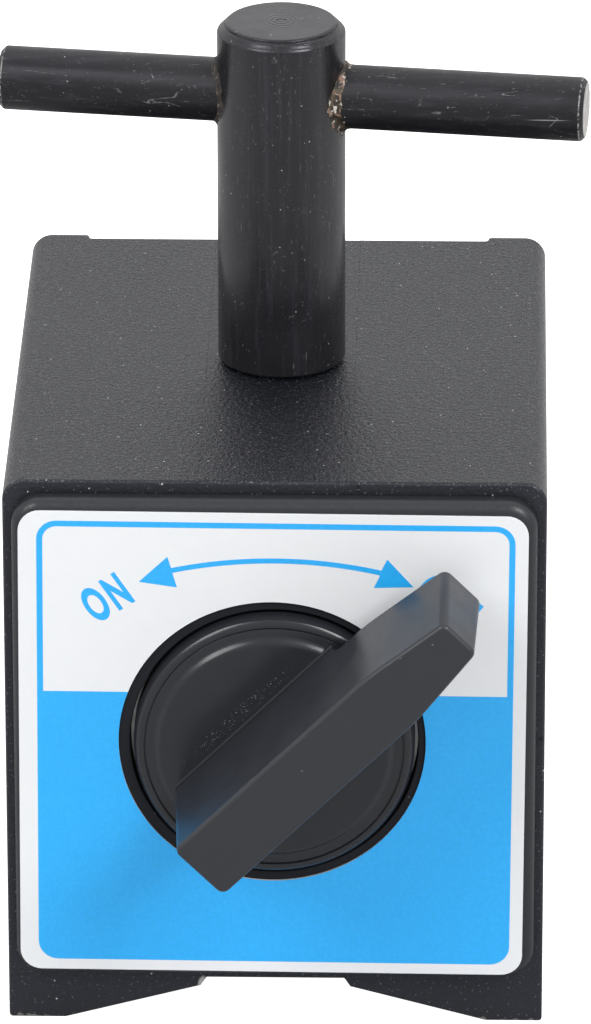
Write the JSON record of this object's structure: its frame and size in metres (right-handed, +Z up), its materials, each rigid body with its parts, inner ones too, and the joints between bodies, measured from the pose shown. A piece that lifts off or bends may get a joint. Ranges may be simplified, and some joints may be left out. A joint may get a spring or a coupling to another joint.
{
  "type": "magnetic base",
  "caption": "Switchable magnetic base: a V-footed steel block with a quarter-turn lever knob on its front, and a round post with a thin cross bar on top.",
  "frame": {"origin": "on the resting plane, in the middle of the V-shaped base, below the middle of the block", "axes": "+X to the right as seen from the knob, +Y to the back along the bore, +Z up along the post"},
  "size_m": [0.0556, 0.0767, 0.0887],
  "materials": {
    "body_paint": "fine-textured black paint",
    "cover_plastic": "satin moulded",
    "label_print": "printed vinyl",
    "knob_plastic": "semi-gloss moulded",
    "black_steel": "turned, black oxide",
    "screw_steel": "zinc plated",
    "pin_steel": "ground",
    "rotor_steel": "turned",
    "plate_aluminium": "turned",
    "bush_brass": "reamed",
    "braze": "as brazed",
    "seal_rubber": "moulded",
    "washer_plastic": "stamped",
    "magnet_ferrite": "sintered, ground"
  },
  "bodies": {
    "block": {"left_pole": "body_paint", "right_pole": "body_paint", "top_separator": "body_paint", "bottom_separator": "body_paint", "front_cover": "cover_plastic", "front_label": "label_print", "front_cover_screws": "screw_steel", "rear_cover": "body_paint", "rear_cover_screws": "screw_steel", "front_bearing_plate": "plate_aluminium", "rear_bearing_plate": "plate_aluminium", "front_bush": "bush_brass", "rear_bush": "bush_brass", "front_thrust_washer": "washer_plastic", "rear_thrust_washer": "washer_plastic", "spindle_seal": "seal_rubber", "stop_pin": "pin_steel", "post": "black_steel", "post_stud": "screw_steel", "cross_bar": "black_steel", "braze_beads": "braze"},
    "rotor": {"rotor_pole_upper": "rotor_steel", "rotor_pole_lower": "rotor_steel", "magnet_front": "magnet_ferrite", "magnet_rear": "magnet_ferrite", "front_spindle": "plate_aluminium", "rear_spindle": "plate_aluminium", "front_rotor_screws": "screw_steel", "rear_rotor_screws": "screw_steel", "knob": "knob_plastic", "knob_screw": "screw_steel"}
  },
  "joints": [
    {"name": "knob_turn", "type": "hinge", "parent": "block", "child": "rotor", "pos_m": [0, -0.03, 0.02975], "axis": [0, -1, 0], "range_deg": [0, 90]}
  ]
}
